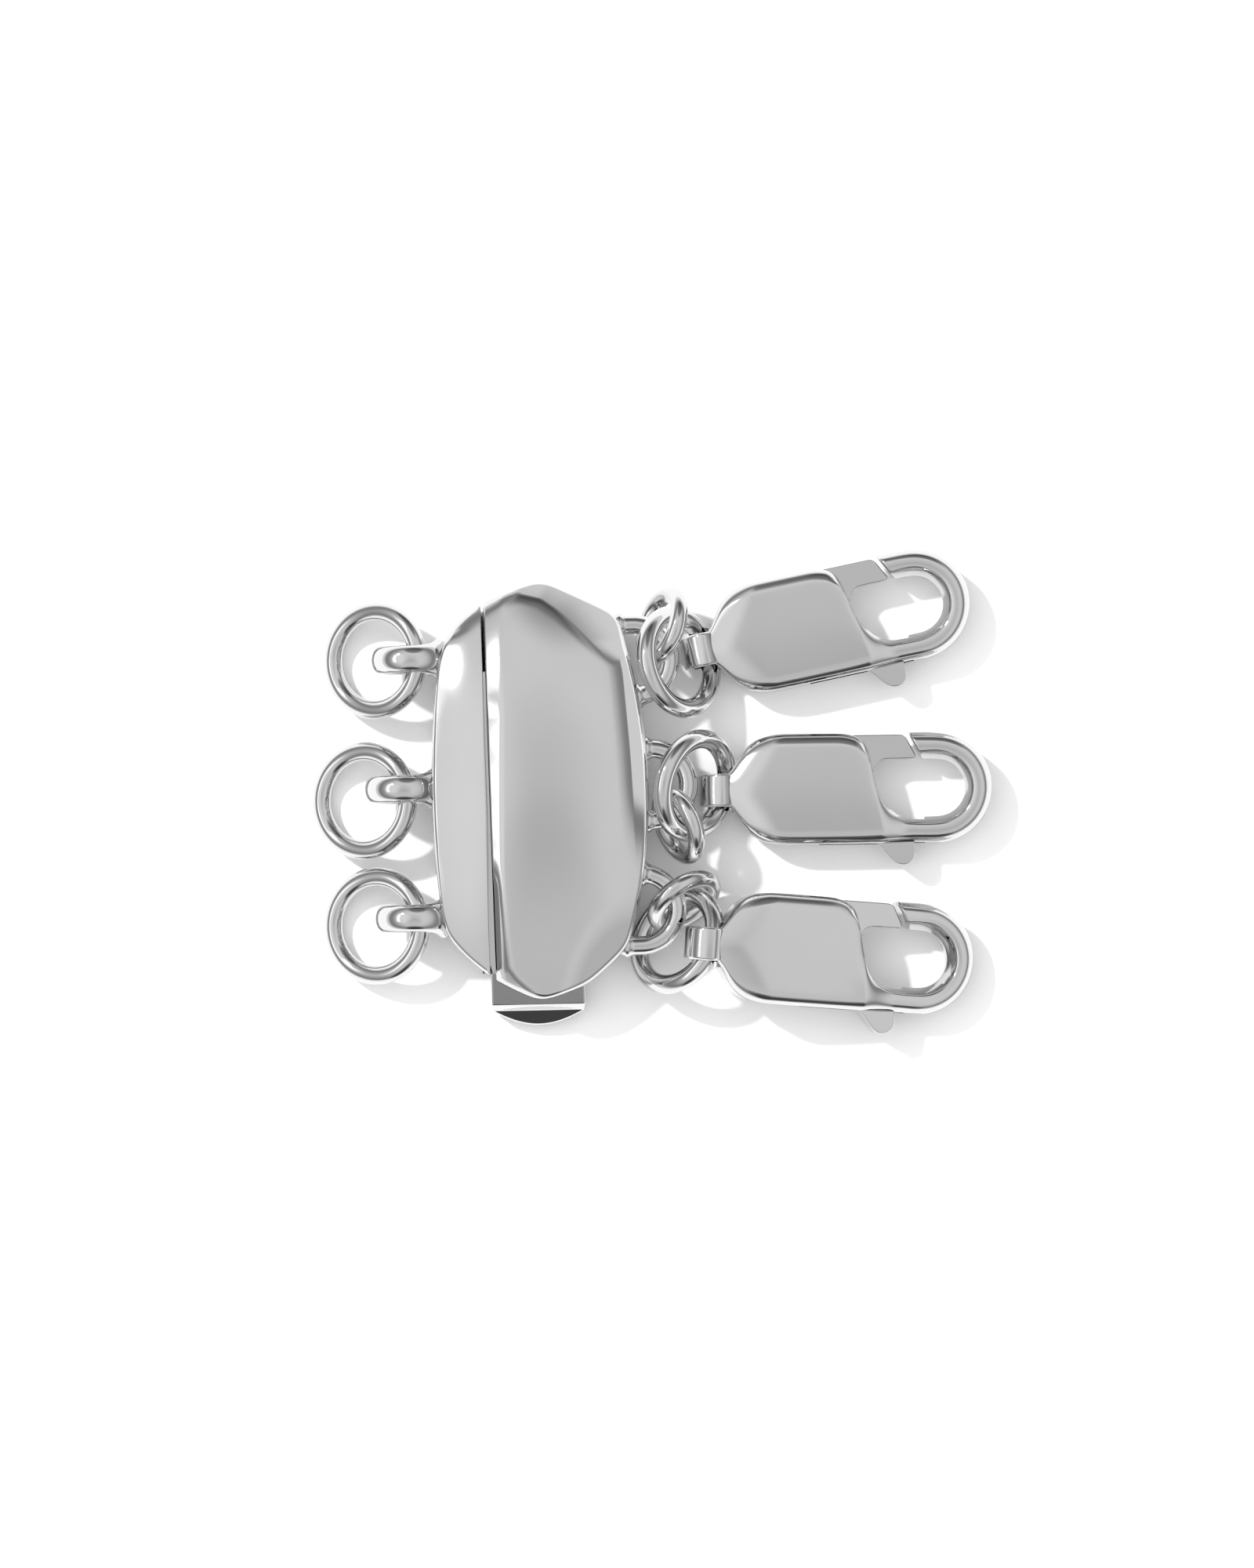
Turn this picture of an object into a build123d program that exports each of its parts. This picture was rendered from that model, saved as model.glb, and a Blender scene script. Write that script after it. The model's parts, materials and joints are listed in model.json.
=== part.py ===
from build123d import *
import os
from math import asin, cos, degrees, radians, sin, sqrt, tan

# Multi-strand clasp in plated brass, lying on its back, in millimetres.
# +X points from the slide clasp to the lobster clasps, +Y along the slide clasp, +Z up.
# The origin is under the middle of the slide clasp, on the face that it rests on.

# jump rings on the left half
left_ring_radius = 2.1
left_ring_wire = 0.8
left_ring_spacing = 0.5
rest_clearance = 0.02

# jump rings between the housing and the lobster clasps
small_ring_radius = 1.38
small_ring_wire = 0.74
large_ring_radius = 2.02
large_ring_wire = 0.82
large_ring_spacing = 0.44

# the strands lie as far apart as their rings need, and the slide clasp is as long as the strands need
left_eye_pitch = 2 * left_ring_radius + left_ring_wire + left_ring_spacing
right_loop_pitch = 2 * large_ring_radius + large_ring_wire + large_ring_spacing
length_past_strands = 3.6
half_length = right_loop_pitch + length_past_strands

# slide clasp, seen from above: a long outline with bowed sides and faceted ends
# a corner is a place across and a distance back from its end, and a bow starts at such a distance
half_width = 4.6
right_bow_radius = 23.0
left_bow_radius = 42.0
right_shoulder_top = (3.3, 1.5)
right_shoulder_bottom = (1.85, 0.7)
left_shoulder_top = (-2.5, 0.95)
left_corner_top = (-3.45, 1.7)
left_shoulder_bottom = (-3.25, 1.9)
right_bow_top = 2.65
right_bow_bottom = 2.3
left_bow_top = 2.8
left_bow_bottom = 2.9

# slide clasp, seen from the side: upright wall, bevel and domed top
total_height = 4.9
rim_height = 2.8
side_bevel_angle = 42.0
end_bevel_angle = 54.0
dome_radius_across = 6.6
dome_radius_along = 26.0
back_chamfer = 0.3

# seam between the two halves
seam_x = -2.2
seam_gap = 0.14
seam_round = 0.35

# sliding bar, its neck through the seam and its end tab
bar_left = -1.4
bar_right = 1.5
bar_bottom = 0.6
bar_top = 2.2
bar_wall = 3.3
bar_end = half_length - bar_wall
slide_clearance = 0.06
neck_bottom = 1.05
neck_top = 1.75
tab_right = 1.72
tab_reach = 0.25
tab_point_reach = 1.0
tab_front = -half_length - tab_reach
tab_point = -half_length - tab_point_reach
tab_bottom = 0.3
tab_top = 2.35
tab_facet_drop = 1.3

# fixed eyes on the left half, standing upright
left_eye_middle = 0.2
left_eye_reach = 2.87
left_eye_height = 2.25
left_eye_radius = 1.3
left_eye_depth = 0.72
left_eye_breadth = 1.14

# fixed rings on the housing, lying level
right_loop_middle = 0.2
right_loop_radius = 1.53
right_loop_wire = 0.8
right_loop_height = 2.0
right_loop_stand = 0.15
right_loop_root = 0.6

# lobster clasp, measured along its length from the end of its tail
claw_length = 12.5
claw_width = 4.7
claw_thickness = 2.4
claw_crown_radius = 5.3
eye_radius = 1.08
eye_hole_radius = 0.74
tail_width = 1.4
shoulder_start = (1.6, 0.85)
shoulder_end_x = 3.2
plate_corner_x = 6.4
plate_end_x = 7.4
plate_corner_drop = 0.8
plate_end_drop = 1.5
arm_start_x = 8.6
arm_width = 1.12
arm_thickness = 1.8
tip_x = 9.05
tip_slant = 27.0

# lever of the lobster clasp, its slot and its pin
lever_thickness = 1.0
lever_clearance = 0.05
pivot_x = 6.5
hub_radius = 0.95
gate_gap = 0.25
gate_back_x = 6.1
gate_inset = 0.08
gate_width = 1.0
gate_inner_x = 7.8
waist = (7.42, 0.5)
trigger_inner = (7.75, -0.95)
trigger_elbow = (9.05, -1.5)
trigger_left = (6.1, -0.8)
thumb_left_x = 7.65
thumb_right_x = 9.2
thumb_tip_x = 8.7
thumb_tip_radius = 0.5
thumb_reach = 0.95
slot_start_x = 5.1
slot_end_x = 9.6
pin_radius = 0.35
pin_fit = 0.01
pin_running = 0.03
pin_cover = 0.35

# how far a cut runs past the metal that it goes through
cut_overrun = 1.0

# where the strands sit along the clasp, in pitches from the middle one
strand_steps = (1, 0, -1)

# where the jump rings of the left half lie, and how far each leans up to the right
# a place is measured from the middle of its eye, as a share of the ring's radius
left_rings = [
    dict(beside=-0.7184, along=0.0238, lean=30.0),
    dict(beside=-0.8098, along=-0.1952, lean=28.0),
    dict(beside=-0.7695, along=-0.119, lean=27.0),
]

# where each strand lies, with a tail lifted by its rings where they lie under it
# a place is measured from the middle of its fixed ring, as a share of that ring's radius
strands = [
    dict(turn=11.1, lift=0.0, hole=(2.0288, 0.2837),
         small_at=(0.8, 0.9484, 0.2392), small_faces=(-0.843, 0.286, 0.456),
         large_at=(1.2497, -0.0889, 0.4052), large_faces=(0.732, 0.153, 0.664)),
    dict(turn=-0.3, lift=0.0, hole=(1.9876, -0.1961),
         small_at=(0.7007, -1.1471, 0.1248), small_faces=(-0.834, -0.333, 0.439),
         large_at=(1.183, -0.0719, 0.4516), large_faces=(0.731, -0.222, 0.645)),
    dict(turn=-5.1, lift=11.6, hole=(1.8784, -1.0137),
         small_at=(1.1941, 0.2157, -0.232), small_faces=(-0.482, 0.742, -0.465),
         large_at=(0.9771, -0.8569, -0.1085), large_faces=(-0.613, 0.345, 0.711)),
]


def bow_x(bow_radius, y):
    """Distance of a bowed side from the middle line, at a place along the clasp."""
    return half_width - bow_radius + sqrt(bow_radius ** 2 - y ** 2)


def bow_start(bow_radius, side, y):
    """Where a bowed side meets an end, on the right side (1) or the left side (-1)."""
    return (side * bow_x(bow_radius, y), y)


def corner(place, end):
    """A corner of the outline, from its place across and its distance back from the end (1 or -1)."""
    return (place[0], end * (half_length - place[1]))


def end_bevel(start, finish):
    """What a flat bevel takes off above one straight edge of the outline, which runs anticlockwise."""
    run = Vector(finish[0] - start[0], finish[1] - start[1], 0).normalized()
    slope = radians(90 - end_bevel_angle)
    facing = Vector(run.Y * sin(slope), -run.X * sin(slope), cos(slope))
    middle = Vector((start[0] + finish[0]) / 2, (start[1] + finish[1]) / 2, rim_height)
    face = Plane(origin=middle, x_dir=run, z_dir=facing)
    return extrude(face * Rectangle(4 * half_length, 4 * half_length), 2 * total_height)


def clasp_block():
    """The slide clasp before it is split in two: wall, side and end bevels, domed top."""
    top = (0, half_length)
    bottom = (0, -half_length)
    right_top = bow_start(right_bow_radius, 1, half_length - right_bow_top)
    right_bottom = bow_start(right_bow_radius, 1, right_bow_bottom - half_length)
    left_top = bow_start(left_bow_radius, -1, half_length - left_bow_top)
    left_bottom = bow_start(left_bow_radius, -1, left_bow_bottom - half_length)
    straight_ends = [
        (top, corner(left_shoulder_top, 1)),
        (corner(left_shoulder_top, 1), corner(left_corner_top, 1)),
        (corner(left_corner_top, 1), left_top),
        (left_bottom, corner(left_shoulder_bottom, -1)),
        (corner(left_shoulder_bottom, -1), bottom),
        (bottom, corner(right_shoulder_bottom, -1)),
        (corner(right_shoulder_bottom, -1), right_bottom),
        (right_top, corner(right_shoulder_top, 1)),
        (corner(right_shoulder_top, 1), top),
    ]
    sides = ThreePointArc(left_top, (-half_width, 0), left_bottom)
    sides += ThreePointArc(right_bottom, (half_width, 0), right_top)
    outline = make_face(Curve() + [Line(a, b) for a, b in straight_ends] + sides)

    block = extrude(outline, rim_height)
    block = chamfer(block.faces().sort_by(Axis.Z)[0].edges(), back_chamfer)
    rise = total_height - rim_height
    block += extrude(Pos(0, 0, rim_height) * outline, rise, taper=side_bevel_angle)
    for start, finish in straight_ends:
        block -= end_bevel(start, finish)

    crown = Pos(0, total_height - dome_radius_across) * Circle(dome_radius_across)
    crown &= Pos(0, total_height - dome_radius_across / 2) * Rectangle(4 * half_width, dome_radius_across)
    crown = Plane.XZ * crown
    dome_axis = Axis((0, 0, total_height - dome_radius_along), (1, 0, 0))
    half_turn = degrees(asin((half_length + 3 * cut_overrun) / dome_radius_along))
    dome = revolve(crown.rotate(dome_axis, -half_turn), dome_axis, 2 * half_turn)
    return block & dome


def end_line(shoulder, x):
    """How far down the lower end of the outline reaches, between its point and a shoulder."""
    return -half_length + shoulder[1] * x / shoulder[0]


def level_box(x_range, y_range, z_range):
    """A box between two places along each direction."""
    size = [high - low for low, high in (x_range, y_range, z_range)]
    middle = [(high + low) / 2 for low, high in (x_range, y_range, z_range)]
    return Pos(*middle) * Box(*size)


def right_loop(y):
    """One level fixed ring: half a ring of round wire with two straight roots in the wall."""
    wall = bow_x(right_bow_radius, y)
    middle = wall + right_loop_stand
    start = (wall - right_loop_root, y + right_loop_radius, right_loop_height)
    path = Line(start, (middle, y + right_loop_radius, right_loop_height))
    path += ThreePointArc(
        (middle, y + right_loop_radius, right_loop_height),
        (middle + right_loop_radius, y, right_loop_height),
        (middle, y - right_loop_radius, right_loop_height),
    )
    path += Line(
        (middle, y - right_loop_radius, right_loop_height),
        (wall - right_loop_root, y - right_loop_radius, right_loop_height),
    )
    section = Plane(origin=start, z_dir=(1, 0, 0)) * Circle(right_loop_wire / 2)
    return sweep(section, path=path)


def left_eye_x(y):
    """Where the middle of an upright eye lies across the clasp."""
    return left_eye_radius + left_eye_depth / 2 - left_eye_reach - bow_x(left_bow_radius, y)


def left_eye(y):
    """One upright fixed eye: a whole ring of flattened wire, let into the wall."""
    middle = left_eye_x(y)
    wire = Ellipse(left_eye_depth / 2, left_eye_breadth / 2)
    section = Pos(middle + left_eye_radius, y, left_eye_height) * wire
    return revolve(section, Axis((middle, y, left_eye_height), (0, 1, 0)), 360)


def slide_housing(block):
    """The right half: its channel and seam slot cut out, its three fixed rings soldered on."""
    face_x = seam_x + seam_gap / 2
    half = split(block, Plane.YZ.offset(face_x), keep=Keep.TOP)
    seam_edges = half.faces().filter_by(Axis.X).sort_by(Axis.X)[0].edges()
    half = fillet(seam_edges.filter_by(GeomType.CIRCLE), seam_round)
    mouth = -half_length - cut_overrun
    channel = level_box(
        (bar_left - slide_clearance, bar_right + slide_clearance),
        (mouth, bar_end + slide_clearance),
        (bar_bottom - slide_clearance, bar_top + slide_clearance),
    )
    seam_slot = level_box(
        (face_x - cut_overrun, bar_left),
        (mouth, bar_end + slide_clearance),
        (neck_bottom - slide_clearance, neck_top + slide_clearance),
    )
    housing = half - channel - seam_slot
    for step in strand_steps:
        housing += right_loop(right_loop_middle + step * right_loop_pitch)
    return housing


def slide_bar(block):
    """The left half with its upright eyes, the neck, the bar in the channel and the end tab."""
    face_x = seam_x - seam_gap / 2
    slider = split(block, Plane.YZ.offset(face_x), keep=Keep.BOTTOM)
    for step in strand_steps:
        slider += left_eye(left_eye_middle + step * left_eye_pitch)
    neck_x = (face_x - seam_gap, bar_left + seam_gap)
    slider += level_box(neck_x, (tab_front, bar_end), (neck_bottom, neck_top))
    slider += level_box((bar_left, bar_right), (tab_front, bar_end), (bar_bottom, bar_top))

    tab_middle = (face_x + tab_right) / 2
    tab_outline = Polyline(
        (face_x, end_line(left_shoulder_bottom, face_x) - slide_clearance),
        (0, -half_length - slide_clearance),
        (tab_right, end_line(right_shoulder_bottom, tab_right) - slide_clearance),
        (tab_right, tab_front),
        (tab_middle, tab_point),
        (face_x, tab_front),
        close=True,
    )
    tab = extrude(Pos(0, 0, tab_bottom) * make_face(tab_outline), tab_top - tab_bottom)
    slope = (tab_front - tab_point) / tab_facet_drop
    facet = Plane(origin=(0, tab_front, tab_top), x_dir=(1, 0, 0), z_dir=(0, -1, slope))
    tab -= extrude(facet * Rectangle(4 * half_width, 4 * half_width), total_height)
    return slider + tab


def jump_ring(middle, facing, radius, wire):
    """A ring of round wire about its middle, facing along one direction."""
    return Plane(origin=middle, z_dir=facing) * Torus(radius, wire / 2)


def left_ring(row, y):
    """A jump ring of the left half: its left side rests on the table, its right side in an eye."""
    lean = radians(row["lean"])
    middle = (
        left_eye_x(y) + row["beside"] * left_ring_radius,
        y + row["along"] * left_ring_radius,
        left_ring_wire / 2 + rest_clearance + left_ring_radius * sin(lean),
    )
    return jump_ring(middle, (-sin(lean), 0, cos(lean)), left_ring_radius, left_ring_wire)


def crown_lens():
    """The lobster clasp's thickness: flat along its length and crowned across it."""
    shift = claw_crown_radius - claw_thickness / 2
    section = Pos(0, shift) * Circle(claw_crown_radius) & Pos(0, -shift) * Circle(claw_crown_radius)
    return extrude(Plane.YZ * section, 2 * claw_length, both=True)


def tip_line(y, gap=0.0):
    """Where the hook's slanted tip face lies along the claw, or the gate's face at a gap before it."""
    slant = radians(tip_slant)
    return tip_x + (claw_width / 2 - y) * tan(slant) - gap / cos(slant)


def claw_plate():
    """The plate of a lobster clasp with the start of its lower arm, crowned across its width."""
    half = claw_width / 2
    corner_top = (plate_end_x, half - plate_corner_drop)
    corner_low = (plate_end_x, half - plate_end_drop)
    arm_inner = (arm_start_x, -half + arm_width)
    low_shoulder = (shoulder_start[0], -shoulder_start[1])
    outline = Curve() + Line((eye_radius, shoulder_start[1]), (eye_radius, -shoulder_start[1]))
    outline += Line((eye_radius, -shoulder_start[1]), low_shoulder)
    outline += TangentArc((shoulder_end_x, -half), low_shoulder, tangent=(-1, 0))
    outline += Line((shoulder_end_x, -half), (arm_start_x, -half))
    outline += Line((arm_start_x, -half), arm_inner)
    outline += Spline([arm_inner, corner_low], tangents=[(-1, 0), (0, 1)])
    outline += Line(corner_low, corner_top)
    outline += Spline([corner_top, (plate_corner_x, half)], tangents=[(0, 1), (-1, 0)])
    outline += Line((plate_corner_x, half), (shoulder_end_x, half))
    outline += TangentArc((shoulder_end_x, half), shoulder_start, tangent=(-1, 0))
    outline += Line(shoulder_start, (eye_radius, shoulder_start[1]))
    return extrude(make_face(outline), claw_thickness / 2, both=True) & crown_lens()


def claw_hook():
    """The lower arm and hook of a lobster clasp: one oval bar bent round, with a slanted tip face."""
    half = claw_width / 2
    arm_y = half - arm_width / 2
    bend_x = claw_length - half
    straight_end = tip_x - arm_width
    path = Line((plate_corner_x, -arm_y, 0), (bend_x, -arm_y, 0))
    path += ThreePointArc((bend_x, -arm_y, 0), (bend_x + arm_y, 0, 0), (bend_x, arm_y, 0))
    path += Line((bend_x, arm_y, 0), (straight_end, arm_y, 0))
    section = Plane(origin=(plate_corner_x, -arm_y, 0), x_dir=(0, 1, 0), z_dir=(1, 0, 0))
    hook = sweep(section * Ellipse(arm_width / 2, arm_thickness / 2), path=path)
    tip_cut = Polyline(
        (straight_end - cut_overrun, 2 * half),
        (straight_end - cut_overrun, 0),
        (tip_line(0), 0),
        (tip_line(2 * half), 2 * half),
        close=True,
    )
    return hook - extrude(make_face(tip_cut), claw_thickness, both=True)


def claw_body():
    """A lobster clasp's body: tail eye, plate, lower arm and hook, with the lever's slot and pin hole."""
    half = claw_width / 2
    tail = Pos(eye_radius, 0, 0) * Rot(90, 0, 0) * Cylinder(eye_radius, tail_width)
    tail += level_box(
        (eye_radius, shoulder_end_x),
        (-tail_width / 2, tail_width / 2),
        (-eye_radius, eye_radius),
    )
    body = claw_plate() + claw_hook() + tail
    body -= Pos(eye_radius, 0, 0) * Rot(90, 0, 0) * Cylinder(eye_hole_radius, 2 * claw_width)
    slot_half = lever_thickness / 2 + lever_clearance
    slot_z = (-slot_half, slot_half)
    body -= level_box((slot_start_x, plate_end_x + lever_clearance), (-claw_width, claw_width), slot_z)
    body -= level_box((slot_start_x, slot_end_x), (-claw_width, 0), slot_z)
    hole = Cylinder(pin_radius + pin_fit, claw_thickness, align=(Align.CENTER, Align.CENTER, Align.MAX))
    return body - Pos(pivot_x, 0, slot_half + pin_cover) * hole


def claw_lever():
    """The lever: a hub on the pin, the gate that closes the hook, and the thumb tab below the arm."""
    half = claw_width / 2
    gate_top = half - gate_inset
    gate_low = gate_top - gate_width
    outline = Polyline(
        (gate_back_x, gate_top),
        (pivot_x - hub_radius, 0),
        trigger_left,
        (thumb_left_x, -half),
        (thumb_right_x, -half),
        trigger_elbow,
        trigger_inner,
        waist,
        (gate_inner_x, gate_low),
        (tip_line(gate_low, gate_gap), gate_low),
        (tip_line(gate_top, gate_gap), gate_top),
        close=True,
    )
    thumb_middle = (thumb_tip_x, -half - thumb_reach + thumb_tip_radius)
    thumb_base = Line((thumb_left_x, -half), (thumb_right_x, -half))
    thumb = make_hull(thumb_base.edges() + (Pos(*thumb_middle) * Circle(thumb_tip_radius)).edges())
    plan = make_face(outline) + thumb + Pos(pivot_x, 0) * Circle(hub_radius)
    plan -= Pos(pivot_x, 0) * Circle(pin_radius + pin_running)
    return extrude(plan, lever_thickness / 2, both=True)


def claw_pin():
    """The lever's pin: it ends flush with the back of the plate and is covered on the front."""
    top = lever_thickness / 2 + lever_clearance + pin_cover - pin_fit
    length = top + claw_thickness / 2 - pin_fit
    pin = Cylinder(pin_radius, length, align=(Align.CENTER, Align.CENTER, Align.MAX))
    return Pos(pivot_x, 0, top) * pin


def claw_place(row, middle, body):
    """Where a lobster clasp lies: turned, tail lifted, and its lowest point on the table."""
    hang = Rot(0, 0, row["turn"]) * Rot(0, row["lift"], 0) * Pos(-eye_radius, 0, 0)
    lowest = (hang * body).bounding_box().min.Z
    across, along = (share * right_loop_radius for share in row["hole"])
    return Pos(middle.X + across, middle.Y + along, -lowest) * hang


parts = {}
block = clasp_block()
parts["slide_housing"] = slide_housing(block)
parts["slide_bar"] = slide_bar(block)
for number, (step, row) in enumerate(zip(strand_steps, left_rings), 1):
    parts[f"left_ring_{number}"] = left_ring(row, left_eye_middle + step * left_eye_pitch)

body = claw_body()
lever = claw_lever()
pin = claw_pin()
for number, (step, row) in enumerate(zip(strand_steps, strands), 1):
    y = right_loop_middle + step * right_loop_pitch
    middle = Vector(bow_x(right_bow_radius, y) + right_loop_stand, y, right_loop_height)
    small_at = middle + Vector(*row["small_at"]) * right_loop_radius
    large_at = middle + Vector(*row["large_at"]) * right_loop_radius
    parts[f"small_ring_{number}"] = jump_ring(
        small_at, row["small_faces"], small_ring_radius, small_ring_wire
    )
    parts[f"large_ring_{number}"] = jump_ring(
        large_at, row["large_faces"], large_ring_radius, large_ring_wire
    )
    place = claw_place(row, middle, body)
    parts[f"claw_body_{number}"] = place * body
    parts[f"claw_lever_{number}"] = place * lever
    parts[f"claw_pin_{number}"] = place * pin
    axis = Vector(*(place * Plane.XY).z_dir)
    pivot = (place * Pos(pivot_x, 0, 0)).position
    hole = (place * Pos(eye_radius, 0, 0)).position
    print(f"claw {number}: pivot {pivot}, axis {axis}, hole {hole}")

os.makedirs("parts", exist_ok=True)
for name, solid in parts.items():
    export_step(solid, f"parts/{name}.step")
    print(name, len(solid.solids()), round(solid.volume, 2))
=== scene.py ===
import json
import math

import bmesh
import bpy
import numpy as np
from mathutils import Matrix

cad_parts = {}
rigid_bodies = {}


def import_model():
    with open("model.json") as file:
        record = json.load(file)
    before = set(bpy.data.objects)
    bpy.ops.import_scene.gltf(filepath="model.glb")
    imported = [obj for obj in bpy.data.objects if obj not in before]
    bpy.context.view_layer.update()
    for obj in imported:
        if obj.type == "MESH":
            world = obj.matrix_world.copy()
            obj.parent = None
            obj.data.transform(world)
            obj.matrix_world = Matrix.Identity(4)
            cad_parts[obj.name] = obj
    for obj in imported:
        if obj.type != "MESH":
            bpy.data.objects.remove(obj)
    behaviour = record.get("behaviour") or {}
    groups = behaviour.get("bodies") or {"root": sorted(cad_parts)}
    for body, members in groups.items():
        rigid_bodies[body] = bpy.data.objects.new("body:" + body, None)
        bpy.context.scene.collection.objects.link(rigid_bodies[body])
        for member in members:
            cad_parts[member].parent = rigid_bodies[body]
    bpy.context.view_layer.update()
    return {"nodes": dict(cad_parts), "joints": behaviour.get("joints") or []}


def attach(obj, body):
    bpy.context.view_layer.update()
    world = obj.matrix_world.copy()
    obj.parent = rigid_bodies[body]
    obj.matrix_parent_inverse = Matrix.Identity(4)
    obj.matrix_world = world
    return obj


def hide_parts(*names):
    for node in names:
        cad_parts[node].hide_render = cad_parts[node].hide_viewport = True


# Multi-strand clasp, lying on a white table and seen from above.
# All lengths are millimetres until a mesh is written, and then they are metres.

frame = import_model()
mm = 0.001
print("frame loaded:", len(frame["nodes"]), "nodes")


# helpers for meshes

quarterTurn = math.pi / 2
fullTurn = 2 * math.pi
faceInset = 1.2  # a flat face starts this many edge radii in, so that the rounding beside it shades evenly


def mixed(a, b, share):
    # a value part of the way from one to another
    return a + (b - a) * share


def eased(value):
    # a smooth step from 0 to 1
    t = np.clip(value, 0.0, 1.0)
    return t * t * (3 - 2 * t)


def softMin(a, b, width):
    # the lower of two heights, with the ridge between them rounded over a width
    h = np.clip(0.5 + 0.5 * (b - a) / width, 0.0, 1.0)
    return mixed(b, a, h) - width * h * (1 - h)


def gaussian(values, spread):
    # a closed row of values, softened by a bell curve whose spread is counted in samples
    waves = np.fft.rfftfreq(len(values))
    damp = np.exp(-2 * (math.pi * waves * spread) ** 2)
    return np.fft.irfft(np.fft.rfft(values, axis=0) * damp[:, None], len(values), axis=0)


def evenWalk(points, count):
    # a closed polygon walked round at an even pace, and its length
    loop = np.vstack([points, points[:1]])
    way = np.concatenate([[0], np.cumsum(np.linalg.norm(np.diff(loop, axis=0), axis=1))])
    at = np.linspace(0, way[-1], count, endpoint=False)
    return np.stack([np.interp(at, way, loop[:, k]) for k in range(loop.shape[1])], 1), way[-1]


def softOutline(corners, count, softness, fineness=6):
    # a polygon with its corners rounded: walked finely, softened along its length, walked again
    fine, length = evenWalk(np.array(corners, float), count * fineness)
    fine = gaussian(fine, softness * count * fineness / length)
    return evenWalk(fine, count)[0]


def inwardNormals(outline):
    # for an anticlockwise outline: its direction turned a quarter to the left
    along = np.roll(outline, -1, 0) - np.roll(outline, 1, 0)
    along /= np.linalg.norm(along, axis=1, keepdims=True)
    return np.stack([-along[:, 1], along[:, 0]], 1)


def ringFaces(rings, count):
    # quads between rings of equal count, each ring closed
    low = np.arange(rings - 1)[:, None] * count
    here = np.arange(count)[None, :]
    after = (here + 1) % count
    quads = np.stack([low + here, low + after, low + count + after, low + count + here], -1)
    return quads.reshape(-1, 4).tolist()


def ringSolid(rings):
    # rings stacked from the bottom up, with a flat face closing each end
    count = rings.shape[1]
    faces = ringFaces(len(rings), count)
    faces.append(list(range(count - 1, -1, -1)))
    faces.append(list(range((len(rings) - 1) * count, len(rings) * count)))
    return rings.reshape(-1, 3), faces


def torusSolid(rings):
    # rings that follow each other round and meet again
    count = rings.shape[1]
    closed = np.concatenate([rings, rings[:1]])
    faces = np.array(ringFaces(len(closed), count)) % (len(rings) * count)
    return rings.reshape(-1, 3), faces[:, ::-1].tolist()


def together(*solids):
    # several solids as one list of points and faces
    points, faces, first = [], [], 0
    for solidPoints, solidFaces in solids:
        points.append(solidPoints)
        faces += [[first + k for k in face] for face in solidFaces]
        first += len(solidPoints)
    return np.vstack(points), faces


def roundedSlab(outline, low, high, edge, steps=5):
    # a flat plate with rounded rims: the outline drawn in along quarter circles at both faces
    inward = inwardNormals(outline)
    turn = np.linspace(0, quarterTurn, steps)
    rise, run = edge * (1 - np.cos(turn)), edge * (1 - np.sin(turn))
    draws = np.concatenate([[faceInset * edge], run, rise, [faceInset * edge]])
    levels = np.concatenate([[low], low + rise, high - run, [high]])
    rings = [
        np.column_stack([outline + inward * draw, np.full(len(outline), level)])
        for draw, level in zip(draws, levels)
    ]
    return ringSolid(np.array(rings))


def newPiece(name, solid, finish, body, *nodes, sharp=None):
    # a mesh at the origin that rides on the body, where one is named, and stands for the nodes; sharp is
    # the angle in degrees past which an edge isn't shaded smooth
    points, faces = solid
    mesh = bpy.data.meshes.new(name)
    mesh.from_pydata((np.asarray(points) * mm).tolist(), [], faces)
    mesh.update()
    mesh.validate()
    if body is not None:
        # faces with many sides become well-shaped triangles
        work = bmesh.new()
        work.from_mesh(mesh)
        wide = [face for face in work.faces if len(face.verts) > 4]
        bmesh.ops.triangulate(work, faces=wide, ngon_method="BEAUTY")
        work.to_mesh(mesh)
        work.free()
    mesh.polygons.foreach_set("use_smooth", np.ones(len(mesh.polygons), bool))
    piece = bpy.data.objects.new(name, mesh)
    bpy.context.scene.collection.objects.link(piece)
    if finish is not None:
        mesh.materials.append(finish)
    if sharp is not None:
        mesh.set_sharp_from_angle(angle=math.radians(sharp))
    if body is not None:
        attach(piece, body)
    if nodes:
        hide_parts(*nodes)
    return piece


def carved(solid, operation, *tools):
    # a solid joined with, or cut by, the tool solids; returns points and faces again
    whole = newPiece("carvedWhole", solid, None, None)
    for tool in tools:
        helper = newPiece("carvedTool", tool, None, None)
        cut = whole.modifiers.new("cut", "BOOLEAN")
        cut.operation = operation
        cut.solver = "EXACT"
        cut.object = helper
    bpy.context.view_layer.update()
    ready = whole.evaluated_get(bpy.context.evaluated_depsgraph_get()).to_mesh()
    points = np.zeros(len(ready.vertices) * 3)
    ready.vertices.foreach_get("co", points)
    faces = [list(face.vertices) for face in ready.polygons]
    for helper in [o for o in bpy.data.objects if o.name.startswith("carved")]:
        bpy.data.objects.remove(helper)
    return points.reshape(-1, 3) / mm, faces


def box(low, high):
    # a plain block between two corners, its faces turned outwards
    x0, y0, z0 = low
    x1, y1, z1 = high
    points = np.array([[x, y, z] for z in (z0, z1) for y in (y0, y1) for x in (x0, x1)], float)
    faces = [[0, 2, 3, 1], [4, 5, 7, 6], [0, 1, 5, 4], [2, 6, 7, 3], [0, 4, 6, 2], [1, 3, 7, 5]]
    return points, faces


def rod(radius, low, high, count):
    # a plain upright cylinder
    turn = np.linspace(0, fullTurn, count, endpoint=False)
    circle = np.stack([radius * np.cos(turn), radius * np.sin(turn)], 1)
    return ringSolid(np.array([np.column_stack([circle, np.full(count, level)]) for level in (low, high)]))


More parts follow.
